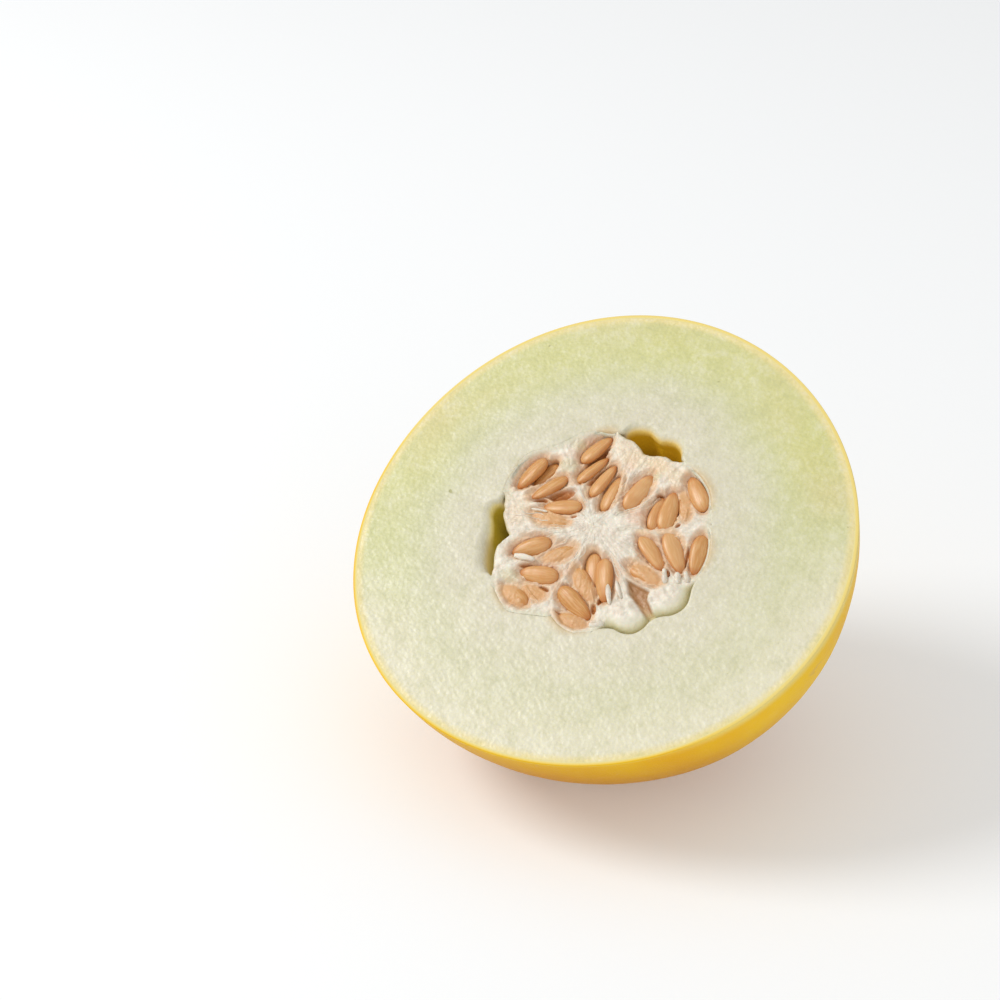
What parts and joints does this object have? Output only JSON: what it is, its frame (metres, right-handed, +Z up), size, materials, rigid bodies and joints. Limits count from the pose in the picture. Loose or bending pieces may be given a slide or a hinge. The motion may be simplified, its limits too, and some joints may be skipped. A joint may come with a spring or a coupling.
{
  "type": "golden honeydew melon",
  "caption": "Cut half of a golden-skinned honeydew melon with pale green-white flesh, a scalloped seed cavity, fibrous white pulp and tan seeds, resting on a small flat spot.",
  "frame": {"origin": "middle of the bounding box's bottom face, on the surface that the fruit rests on", "axes": "+Z up; the cut face looks forward and up, towards -Y and +Z; +X to the right as seen from in front of the cut face"},
  "size_m": [0.14, 0.1276, 0.1048],
  "materials": {
    "golden_skin": "smooth waxy golden-yellow skin, satin",
    "pale_flesh": "wet cut flesh, pale green near the skin to warm white inside",
    "white_pulp": "moist white fibrous pulp",
    "tan_seeds": "wet glossy tan seeds"
  },
  "bodies": {
    "root": {"rind": "golden_skin", "flesh": "pale_flesh", "pulp": "white_pulp", "seeds_1": "tan_seeds", "seeds_2": "tan_seeds", "seeds_3": "tan_seeds", "seeds_4": "tan_seeds", "seeds_5": "tan_seeds", "seeds_6": "tan_seeds"}
  },
  "joints": []
}
